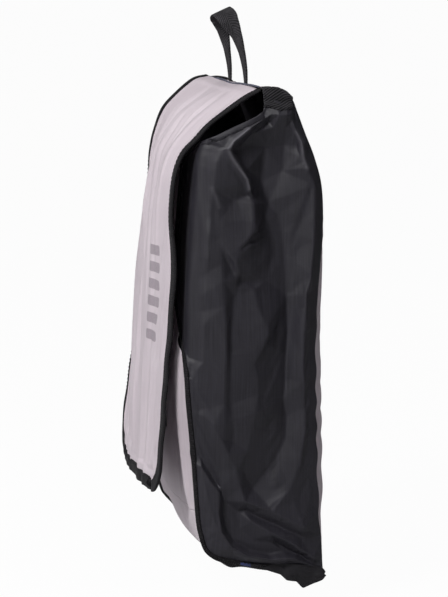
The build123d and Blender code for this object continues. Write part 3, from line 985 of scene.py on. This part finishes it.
strip_uv = np.stack([strip[..., 0], np.repeat(arc_length(strip_line)[:, None], PANEL_COLS, 1)], axis=2)
front, base = strip[: FRONT_ROWS + 1], strip[FRONT_ROWS:]
piece = cloth_object("front_cloth", front, strip_uv[: FRONT_ROWS + 1], pale, (0, -1, 0), inside=painted_inside_shade)
finish_piece(piece, "pale_fabric", "front_panel", blend=BODY_BLEND)
piece = cloth_object("base_cloth", base, strip_uv[FRONT_ROWS:], pale, (0, -0.3, -1))
finish_piece(piece, "pale_fabric", "base_panel", blend=BODY_BLEND)

piece = cloth_object("flap_cloth", flap, flap_uv, printed, (0, -1, 0.3), 0.7)
finish_piece(piece, "pale_fabric", "flap_top_panel", "flap_front_panel", blend=FLAP_BLEND)


# ---------------------------------------------------------------- trims: tapes laid along cloth edges
def resample(points, pitch):
    """Points along an open run at about an even pitch, measured on their first three columns."""
    along = arc_length(points[:, :3])
    count = max(int(along[-1] / pitch), 4)
    at = np.linspace(0, along[-1], count)
    return np.column_stack([np.interp(at, along, points[:, k]) for k in range(points.shape[1])])


def tube(name, rings, material, uv=None):
    """A closed skin through rings of points (rings, around, 3), capped at both ends."""
    rings = np.array(rings)
    count, around = rings.shape[:2]
    faces = grid_faces(count, around, loop=True)
    faces.append(tuple(range(around))[::-1])
    faces.append(tuple((count - 1) * around + k for k in range(around)))
    if uv is None:
        girth = np.linalg.norm(np.roll(rings[0], -1, axis=0) - rings[0], axis=1)
        u = np.concatenate([[0], np.cumsum(girth)])[:-1]
        v = arc_length(rings.mean(axis=1))
        uv = np.stack(np.broadcast_arrays(u[None, :], v[:, None]), axis=2)
    obj = make_object(name, rings.reshape(-1, 3), faces, np.array(uv).reshape(-1, 2), material)
    mesh_outward(obj)
    return obj


def mesh_outward(obj):
    """Turns all faces of a closed mesh outward."""
    mesh = obj.data
    mesh.calc_loop_triangles()
    volume = 0.0
    for tri in mesh.loop_triangles:
        a, b, c = (mesh.vertices[i].co for i in tri.vertices)
        volume += a.dot(b.cross(c))
    if volume < 0:
        mesh.flip_normals()


def edge_frames(edge, inner, surface):
    """At each point of an edge: the point, the direction into the cloth and the outward normal."""
    frames = []
    for i, (p, q) in enumerate(zip(edge, inner)):
        tangent = edge[min(i + 1, len(edge) - 1)] - edge[max(i - 1, 0)]
        tangent /= max(np.linalg.norm(tangent), 1e-9)
        inward = q - p
        inward -= tangent * (inward @ tangent)
        inward /= max(np.linalg.norm(inward), 1e-9)
        _, normal = surface.nearest(p + inward * 2)
        frames.append((p, inward, normal))
    return frames


def smooth_run(points, passes):
    points = points.copy()
    for _ in range(passes):
        points[1:-1] = (points[:-2] + points[2:] + 2 * points[1:-1]) / 4
    return points


def evened(edge, inner, pitch, passes):
    """An edge and the run of points inside it at one even pitch, both smoothed."""
    joined = resample(np.hstack([edge, inner]), pitch)
    return smooth_run(joined[:, :3], 3), smooth_run(joined[:, 3:], passes)


def laid_tape(name, edge, inner, surface, shape, material, rib=0.05):
    """A tape along an edge. Its shape lists (distance into the cloth, height over its outer face)."""
    edge, inner = evened(edge, inner, 1.0, 8)
    places, normals, heights = [], [], []
    for i, (p, inward, normal) in enumerate(edge_frames(edge, inner, surface)):
        profile = shape(p) if callable(shape) else shape
        middle = sum(h for _, h in profile) / len(profile)
        ring, facing = [], []
        for far, _ in profile:
            place, n = p + inward * far, normal
            if far > 0.3:
                on_cloth, n = surface.nearest(place)
                place = place + (on_cloth - place) * min(1, 2.5 / max(np.linalg.norm(on_cloth - place), 1e-6))
            ring.append(place)
            facing.append(n)
        places.append(ring)
        normals.append(facing)
        heights.append([h + rib * (1 if h > middle else -1) * (1 if i % 2 else -1) for _, h in profile])
    normals = smooth_run(np.array(normals), 14)
    normals /= np.linalg.norm(normals, axis=2, keepdims=True)
    return tube(name, smooth_run(np.array(places), 6) + normals * np.array(heights)[..., None], material)


STITCH_PROUD = 0.12


def stitches(name, runs, length=2.0, gap=1.3, radius=0.22):
    """Running stitches along runs of (point, normal); each is a short tapered thread."""
    points, faces, uv = [], [], []
    for run, normals in runs:
        along = arc_length(run)
        start = 1.0
        while start + length < along[-1] - 0.5:
            at = np.array([0, 0.25, 0.75, 1]) * length + start
            centre = np.column_stack([np.interp(at, along, run[:, k]) for k in range(3)])
            n = np.array([np.interp(start + length / 2, along, normals[:, k]) for k in range(3)])
            n /= max(np.linalg.norm(n), 1e-9)
            t = centre[-1] - centre[0]
            t /= max(np.linalg.norm(t), 1e-9)
            b = np.cross(t, n)
            first = len(points)
            for c, size in zip(centre, (0.35, 1, 1, 0.35)):
                for k in range(6):
                    angle = math.tau * k / 6
                    rise = math.cos(angle) * radius * size + STITCH_PROUD * size
                    points.append(c + (n * rise + b * math.sin(angle) * radius * size * 1.5))
                    uv.append((k * 0.3, start))
            faces += [tuple(first + i for i in f) for f in grid_faces(4, 6, loop=True)]
            faces.append(tuple(first + k for k in range(6))[::-1])
            faces.append(tuple(first + 18 + k for k in range(6)))
            start += length + gap
    return make_object(name, points, faces, uv, thread)


FLAP_TAPE = [
    (9.2, 0.05), (8.9, 0.75), (6, 0.85), (3, 0.85), (0.4, 0.95), (-0.6, 0.6), (-1.0, -0.35), (-0.6, -1.3),
    (0.4, -1.65), (3, -1.6), (6, -1.6), (8.9, -1.5), (9.2, -0.75), (5, -0.68), (0.5, -0.6), (0.1, -0.35),
    (0.5, -0.05), (5, -0.02),
]


def line_on(surface, edge, inner, into, high):
    """A run of points and normals on a surface, at a distance into the cloth from its edge."""
    edge, inner = evened(edge, inner, 1.5, 6)
    run, normals = [], []
    for p, inward, _ in edge_frames(edge, inner, surface):
        place, n = surface.nearest(p + inward * into)
        run.append(place + n * high)
        normals.append(n)
    return np.array(run), np.array(normals)


flap_surface = Surface(flap, (0, -1, 0.3))
near, near_in = flap[:, -1], flap[:, -4]
far, far_in = flap[:, 0], flap[:, 3]
hem, hem_in = flap[-1], flap[-3]
rim = np.vstack([near[:-1], hem[::-1], far[::-1][1:]])
rim_in = np.vstack([near_in[:-1], hem_in[::-1], far_in[::-1][1:]])
piece = laid_tape("flap_tape", rim, rim_in, flap_surface, FLAP_TAPE, tape_black)
FLAP_BINDINGS = ("flap_front_binding", "flap_top_binding_left", "flap_top_binding_right")
finish_piece(piece, "black_tape", *FLAP_BINDINGS, blend=FLAP_BLEND)
outer_line = line_on(flap_surface, rim, rim_in, 7.2, 0.85)
inner_line = line_on(flap_surface, rim, rim_in, 7.2, -1.65)
piece = stitches("flap_tape_stitches", [outer_line, (inner_line[0], -inner_line[1])])
finish_piece(piece, "black_thread", blend=FLAP_BLEND)

# the tape's lap joint on the hem, near the right corner
lap_at = 0.9
lap = int(lap_at * FLAP_COLS)
lap_edge, lap_in = flap[-1, lap - 4 : lap + 5], flap[-3, lap - 4 : lap + 5]
LAP = [
    (9.5, 0.3), (9.3, 1.05), (5, 1.15), (0.3, 1.2), (-0.9, 0.75), (-1.3, -0.35), (-0.9, -1.6),
    (0.4, -1.95), (5, -1.9), (9.3, -1.8), (9.5, -1.0), (5, -1.1), (0.4, -1.0), (-0.6, -0.35), (0.2, 0.6),
    (5, 0.6),
]
piece = laid_tape("flap_tape_lap", lap_edge, lap_in, flap_surface, LAP, tape_black)
finish_piece(piece, "black_tape", blend=FLAP_BLEND)


# ---------------------------------------------------------------- tapes on the bag's seams
# On the front seam the tape turns round the corner onto the front panel; elsewhere it lies or hangs flat.
TURNED = [
    (2.4, 0.1), (2.1, 0.8), (1.0, 1.15), (-0.3, 1.25), (-1.4, 0.9), (-1.9, -0.1), (-2.1, -1.6),
    (-2.2, -3.6), (-2.3, -6.2), (-2.3, -8.8), (-1.4, -9.0), (-1.3, -6.0), (-1.2, -3.2), (-1.0, -1.2),
    (-0.6, -0.3), (0.6, 0.0),
]
HANGING = [
    (2.0, 0.1), (1.7, 0.9), (0.6, 1.2), (-0.6, 1.25), (-2.0, 1.2), (-3.4, 1.25), (-4.8, 1.35),
    (-6.2, 1.4), (-7.8, 1.35), (-8.8, 0.7), (-8.6, -0.3), (-7.0, -0.5), (-5.0, -0.5), (-3.0, -0.4),
    (-1.2, -0.3), (0.6, 0.0),
]
MOUTH_HEM = [
    (4.6, 0.0), (4.2, 0.3), (2.4, 0.4), (0.5, 0.4), (-0.3, 0.1), (-0.4, -0.4), (-0.2, -1.0), (0.8, -1.2),
    (2.8, -1.1), (4.6, -0.9), (2.8, -0.3),
]
INSIDE_TAPE = [(1, -1.2), (1, -2.0), (5, -2.2), (9.5, -2.0), (9.5, -1.2), (5, -1.1)]


def seam_tape(p):
    """The seam tape's section at a point of the seam."""
    base = smoothstep(p[1] - p[2], -55, -25) * (1 - smoothstep(p[2], 18, 34))
    flat = max(float(base), float(wrap_at(p[2])) / WRAP)
    wave = 0.8 * math.sin(p[1] / 6.5) * float(base)
    return [
        (a * (1 - flat) + b * flat, h * (1 - flat) + k * flat + (wave if b < -2 else 0))
        for (a, h), (b, k) in zip(TURNED, HANGING)
    ]


gussets = {"left": (gusset_left, -1), "right": (gusset_right, 1)}
surfaces = {name: Surface(grid, (sign, 0, 0)) for name, (grid, sign) in gussets.items()}
for name, (grid, sign) in gussets.items():
    surface = surfaces[name]
    edge = np.vstack([grid[: front_rows + 1, 0][::-1], grid[0, 1:-6]])
    inner = np.vstack([grid[: front_rows + 1, 6][::-1], grid[6, 1:-6]])
    corner = slice(front_rows - 8, front_rows + 18)
    inner[corner] = (inner[corner] + (edge[corner] + [0, 6, 6])) / 2
    inner = smooth_run(inner, 4)
    piece = laid_tape("seam_tape_" + name, edge, inner, surface, seam_tape, tape_black)
    finish_piece(piece, "black_tape", "side_binding_" + name, blend=BODY_BLEND)
    piece = stitches("seam_stitches_" + name, [line_on(surface, edge, inner, 1.4, 1.1)])
    finish_piece(piece, "black_thread", blend=BODY_BLEND)

    # turned hem along the mouth edge
    mouth = grid[front_rows:-18, 0]
    mouth_in = grid[front_rows:-18, 8]
    piece = laid_tape("mouth_hem_cloth_" + name, mouth, mouth_in, surface, MOUTH_HEM, taffeta, rib=0.0)
    finish_piece(piece, "black_fabric", "mouth_hem_" + name, blend=BODY_BLEND)
    piece = stitches("mouth_stitches_" + name, [line_on(surface, mouth, mouth_in, 3.4, 0.4)])
    finish_piece(piece, "black_thread", blend=BODY_BLEND)

    # bound seam allowance inside the back corner
    rows = slice(12, 354)
    seam, seam_in = grid[rows, -1], grid[rows, -12]
    piece = laid_tape("back_seam_binding_" + name, seam, seam_in, surface, INSIDE_TAPE, tape_black)
    finish_piece(piece, "black_tape", "back_seam_tape_" + name, blend=BODY_BLEND)


# ---------------------------------------------------------------- hanging loop
LOOP_PATH = [
    (31, 7, 372.5), (30.8, 6.8, 378), (30.3, 6.1, 386), (29, 4, 398), (26, 0.5, 411), (21, -2.6, 419.5),
    (12, -5.4, 426), (0, -6.4, 428.4),
]
LOOP_WIDTH, LOOP_THICK = 15.5, 1.7
# the webbing's quarter turn on its way up: heights, shares
LOOP_TURN = ([372, 384, 398, 411, 419, 426, 428], [0, 0.06, 0.13, 0.28, 0.48, 0.82, 1])
# half of the webbing's section, as shares of its half width and thickness
LOOP_LOWER = [
    (-1, -0.5), (-0.97, -0.9), (-0.6, -1), (-0.2, -1), (0.2, -1), (0.6, -1), (0.97, -0.9), (1, -0.5),
]
LOOP_SECTION = LOOP_LOWER + [(-a, -b) for a, b in LOOP_LOWER]


def loop_rings():
    right_leg = np.array(LOOP_PATH, float)
    left_leg = right_leg[::-1][1:] * [-1, 1, 1]
    path = curve_through(np.vstack([right_leg, left_leg]), 230)
    along = arc_length(path)
    tangent = np.gradient(path, axis=0)
    tangent /= np.linalg.norm(tangent, axis=1)[:, None]
    rings, uvs = [], []
    for i, (p, t) in enumerate(zip(path, tangent)):
        side = 1 if p[0] >= 0 else -1
        turn = float(np.interp(p[2], *LOOP_TURN))
        # the width lies across the bag at the feet and front to back, nose down, at the crest
        flat = np.array([side, -0.12 * side, 0.0])
        crest = np.array([0.0, 0.88, 0.40])
        angle = turn * math.pi / 2
        wide = flat * math.cos(angle) * side + crest * math.sin(angle)
        wide -= t * (wide @ t)
        wide /= np.linalg.norm(wide)
        thin = np.cross(t, wide)
        half_w = LOOP_WIDTH / 2 + (0.22 if i % 2 else -0.12)
        half_t = LOOP_THICK / 2 + (0.10 if i % 2 else -0.06)
        ring, uv = [], []
        for a, b in LOOP_SECTION:
            ring.append(p + wide * a * half_w + thin * b * half_t)
            uv.append((a * half_w, along[i]))
        rings.append(ring)
        uvs.append(uv)
    return rings, uvs


rings, uvs = loop_rings()
piece = tube("loop_webbing", rings, webbing, uvs)
finish_piece(piece, "black_webbing", "handle_loop", ride="handle")


def patch(name, rows, material, thickness, outward, finer=True):
    """A small sheet from rows of millimetre points."""
    grid = np.array(rows, float)
    u = arc_length(grid[len(grid) // 2])
    v = arc_length(grid[:, grid.shape[1] // 2])
    uv = np.stack(np.broadcast_arrays(u[None, :], v[:, None]), axis=2)
    return cloth_object(name, grid, uv, material, outward, thickness, finer)


# the loop's tails, sewn down inside behind the ridge, and the thread bars across them
back_surface = Surface(back, (0, 1, 0.2))
tail_rows, bar_runs = [], []
for foot in (-31.0, 31.0):
    rows = []
    for s in np.linspace(4, 30, 14):
        row = []
        for w in np.linspace(-7.5, 7.5, 7):
            start = back[-1, int((foot / HALF + 1) / 2 * (PANEL_COLS - 1))]
            y = start[1] + s * 0.72
            z = 373 - smoothstep(y, 10, 40) * 26
            place, n = back_surface.nearest((foot + w, y, z))
            row.append((place - n * (2.4 + 0.15 * math.sin(s * 2.4)), n))
        rows.append(row)
    tail_rows.append(np.array(rows))
for label, rows in zip(("left", "right"), tail_rows):
    piece = patch("loop_tail_" + label, rows[:, :, 0], webbing, 1.5, (0, -0.4, -1))
    finish_piece(piece, "black_webbing", ride="bag")
    if label == "right":
        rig.replaces(piece, "handle_tails")
for rows in tail_rows:
    for r in (4, 8):
        bar_runs.append((rows[r, :, 0] + rows[r, :, 1] * 2.45, rows[r, :, 1]))
piece = stitches("thread_bars", bar_runs, 1.1, 0.15, 0.3)
finish_piece(piece, "black_thread", "handle_bartacks", ride="bag")


# ---------------------------------------------------------------- ridge facing and piping
facing_rows = []
for y in np.linspace(4, 21, 9):
    row = []
    for x in np.linspace(-106, 106, 60):
        place, n = back_surface.nearest((x, y, 374))
        row.append(place - n * (0.95 + 0.12 * math.sin(x / 7 + y)))
    facing_rows.append(row)
piece = patch("ridge_facing", facing_rows, tape_black, 0.7, (0, 0, -1), finer=False)
finish_piece(piece, "black_tape", "ridge_tape", ride="bag")

ridge_x = np.linspace(-104, 100, 170)
ridge = np.column_stack([
    ridge_x,
    2.6 + 0.25 * np.sin(ridge_x / 17),
    372.9 - 1.5 * hump(ridge_x, 0, 22) + 0.3 * hump(ridge_x, 88, 20) + 0.15 * np.sin(ridge_x / 9),
])
PIPE = [(math.cos(math.tau * k / 8) * 0.75, math.sin(math.tau * k / 8) * 0.7) for k in range(8)]
rings = [[p + np.array([0, a, b + 0.1]) for a, b in PIPE] for p in ridge]
# the piping is pale seam cloth coloured blue-grey as it looks in shade: painted shade
ridge_piping_shade = ribbed("ridge_tape", srgb(58, 60, 74), srgb(104, 106, 124), 1.0, 0.7, 0.6)
piece = tube("ridge_piping", rings, ridge_piping_shade)
finish_piece(piece, "black_tape", ride="bag")


# ---------------------------------------------------------------- corner tabs
def corner_rows(sign):
    """Webbing folded over the gusset's top corner; its outer leg is creased and narrows at the end."""
    surface = surfaces["right" if sign > 0 else "left"]
    rows = []
    for t in np.linspace(0, 1, 34):
        row = []
        for w in np.linspace(0, 1, 15):
            y = 3.6 + 22.6 * w + 0.5 * math.sin(t * 11) * (0.5 - w)
            crest = float(np.interp(y, [4, 12, 18, 22, 26], [372.6, 373.3, 372.4, 370.2, 366.0]))
            if t < 0.32:
                x = 96 + 15 * t / 0.32
                z = crest + 0.3 * math.sin(w * 9 + t * 20)
            else:
                fall = (t - 0.32) / 0.68
                x = 111 + 2.2 * math.sin(min(fall * 3.2, 1.57))
                end = 357.5 + 1.0 * math.sin(w * 6 + 1) - 1.5 * w
                z = crest - (crest - end) * fall - 1.2 * fall * (1 - fall)
                fold = 1.5 * hump(z, end + 2.2, 1.4) - 0.9 * hump(z, end + 5.2 + 1.5 * w, 1.6)
                fold += 0.6 * hump(z, 368 - 3 * w, 1.6) + 0.35 * math.sin(w * 13 + z * 0.5)
                skin = surface.nearest((sign * 112, y, z))[0][0]
                x = max(x - 1.0 * fall, abs(skin) + 1.3) + fold
            row.append((sign * x, y, z))
        rows.append(row)
    return rows


for name, sign in (("left", -1), ("right", 1)):
    piece = patch("corner_webbing_" + name, corner_rows(sign), webbing, 1.4, (sign, 0, 0.6))
    finish_piece(piece, "black_webbing", "corner_tab_" + name, ride="bag")


# ---------------------------------------------------------------- bunched tape ends at the heel
HEEL_TOP = ([0, 0.2, 0.5, 0.7, 0.88, 0.95, 1], [3.0, 6.4, 5.4, 3.6, 1.6, 0.4, -2.8])
HEEL_LOW = ([0, 0.28, 0.36, 0.55, 0.67, 0.82, 0.95, 1], [1.6, -3.4, -8.0, -9.6, -15.5, -11.8, -9.4, -6.0])


def heel_rows(sign):
    rows = []
    for t in np.linspace(0, 1, 48):
        y = 4 + 49.5 * t
        top, low = float(np.interp(t, *HEEL_TOP)), float(np.interp(t, *HEEL_LOW))
        row = []
        for w in np.linspace(0, 1, 17):
            z = top + (low - top) * w
            bunch = smoothstep(t, 0.22, 0.42)
            pleat = 1.5 * math.sin(t * 13 + w * 3) * bunch * (0.4 + 0.6 * w)
            pleat += 1.2 * math.sin(w * 6 - t * 9) * bunch
            x = 112.2 + 0.6 * pleat + 2.0 * math.sin(w * math.pi) * bunch - 1.2 * w
            row.append((sign * x, y + 1.0 * math.sin(w * 5 + t * 9) * bunch, z))
        rows.append(row)
    return rows


for name, sign in (("left", -1), ("right", 1)):
    piece = patch("heel_tape_" + name, heel_rows(sign), taped_cloth, 1.3, (sign, 0, 0))
    finish_piece(piece, "black_tape", "heel_tab_" + name, blend=BODY_BLEND)


# ---------------------------------------------------------------- label, hem and touch fastener
label_rows = []
for t in np.linspace(0, 1, 9):
    x, y, z = 111.5 + 0.4 * math.sin(t * 3), -14 + 0.4 * t, 9.0 - 3.4 * t
    label_rows.append([(x, y + 8.0 * s, z - 1.6 * s) for s in np.linspace(0, 1, 11)])
piece = patch("seam_label_cloth", label_rows, label_blue, 0.5, (1, 0, 0))
finish_piece(piece, "blue_label", "seam_label", blend=BODY_BLEND)

front_surface = Surface(strip[: FRONT_ROWS + 1], (0, -1, 0))
hem_rows = []
for k in range(0, 9):
    hem_rows.append([front[k, c] + [0, 1.2 + 0.15 * math.sin(c), 0] for c in range(3, PANEL_COLS - 3)])
piece = patch("front_hem_cloth", hem_rows, pale, 0.6, (0, 1, 0), finer=False)
finish_piece(piece, "pale_fabric", "front_hem", blend=BODY_BLEND)


def fastener(kind, node, surface, start_y, high, material, blend, outward):
    """One half of the touch fastener, laid on a surface with its rim pressed down."""
    rows = []
    for z in np.linspace(100, 125, 14):
        row = []
        for x in np.linspace(-25, 25, 26):
            place, n = surface.nearest((x, start_y, z))
            rim_drop = 0.35 * (max(abs(x) - 23.5, 0) / 1.5 + max(abs(z - 112.5) - 11.5, 0))
            row.append(place + n * (high - math.copysign(rim_drop, high)))
        rows.append(row)
    obj = patch(kind + "_strip", rows, material, 1.0, outward, finer=False)
    finish_piece(obj, kind, node, blend=blend)


fastener("loop_fastener", "loop_strip", front_surface, -58, 1.1, loops, BODY_BLEND, (0, -1, 0))
fastener("hook_fastener", "hook_strip", flap_surface, -72, -1.8, hooks, FLAP_BLEND, (0, 1, 0))


# ---------------------------------------------------------------- stage, light and camera
FLOOR_DROP = 34  # from the gusset's lowest point to the floor, since the bag hangs
FLOOR_SIDES = 72


def stage_sheet():
    """A pale round floor that curves up into a plain wall all round."""
    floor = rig.box("gusset_right")[0].z / MM - lift - FLOOR_DROP
    rises = [(0.01, 0), (3000, 0), (5800, 0), (7000, 240), (7800, 1200), (8000, 8400)]
    profile = [(radius, floor + rise) for radius, rise in rises]
    line = curve_through(profile, 50)
    points = []
    for radius, z in line:
        for k in range(FLOOR_SIDES):
            angle = math.tau * k / FLOOR_SIDES
            points.append((radius * math.cos(angle), radius * math.sin(angle), z))
    faces = grid_faces(len(line), FLOOR_SIDES, loop=True)
    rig.stage(make_object("backdrop", points, faces, [(0, 0)] * len(points), backdrop_material()))


def backdrop_material():
    f = Finish("pale_paper")
    paper = f.node("BsdfDiffuse", None, Color=(0.55, 0.55, 0.56, 1)).outputs[0]
    glow = f.node("Emission", None, Color=(1, 1, 1, 1), Strength=1.0).outputs[0]
    seen = f.node("LightPath").outputs["Is Camera Ray"]
    share = f.math("MULTIPLY", seen, 0.97)
    return f.output(f.node("MixShader", None, i0=share, i1=paper, i2=glow).outputs[0])


stage_sheet()

world = bpy.data.worlds.new("studio")
bpy.context.scene.world = world
world.use_nodes = True
background = world.node_tree.nodes["Background"]
background.inputs[0].default_value = (1.0, 0.97, 1.0, 1)
background.inputs[1].default_value = 0.18

AIM = to_world((60, -10, 200))


def softbox(name, place, size, power):
    """A soft light aimed at the bag; place and size are in metres, power in watts."""
    light = bpy.data.lights.new(name, "AREA")
    light.shape = "RECTANGLE"
    light.size, light.size_y = size
    light.energy = power
    obj = bpy.data.objects.new(name, light)
    obj.location = place
    obj.rotation_euler = (Vector(AIM) - Vector(place)).to_track_quat("-Z", "Y").to_euler()
    bpy.context.scene.collection.objects.link(obj)


softbox("key", (1.2, -1.3, 1.55), (0.5, 0.5), 43)
softbox("top", (0.3, 0.0, 2.2), (0.9, 0.9), 8)
softbox("side", (2.2, 1.2, 0.4), (0.6, 1.2), 2)
softbox("front", (-0.6, -2.0, 0.9), (1.2, 1.4), 13)

AZIMUTH, ELEVATION, DISTANCE = math.radians(78.6), math.radians(7.5), 1850.0
target = np.array([110.0, -26.4, 213.3])
away = np.array([
    math.sin(AZIMUTH) * math.cos(ELEVATION),
    -math.cos(AZIMUTH) * math.cos(ELEVATION),
    math.sin(ELEVATION),
])
camera = bpy.data.cameras.new("camera")
camera.lens = 146.8
camera.sensor_width = 36
camera_object = bpy.data.objects.new("camera", camera)
camera_object.location = to_world(target + away * DISTANCE)
camera_object.rotation_euler = Vector(-away).to_track_quat("-Z", "Y").to_euler()
bpy.context.scene.collection.objects.link(camera_object)
bpy.context.scene.camera = camera_object
bpy.context.scene.view_settings.view_transform = "Standard"

bpy.context.view_layer.update()
made_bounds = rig.bounds()
with open("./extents.json", "w") as out:
    json.dump({"cad": [list(v) for v in cad_bounds], "visual": [list(v) for v in made_bounds]}, out)
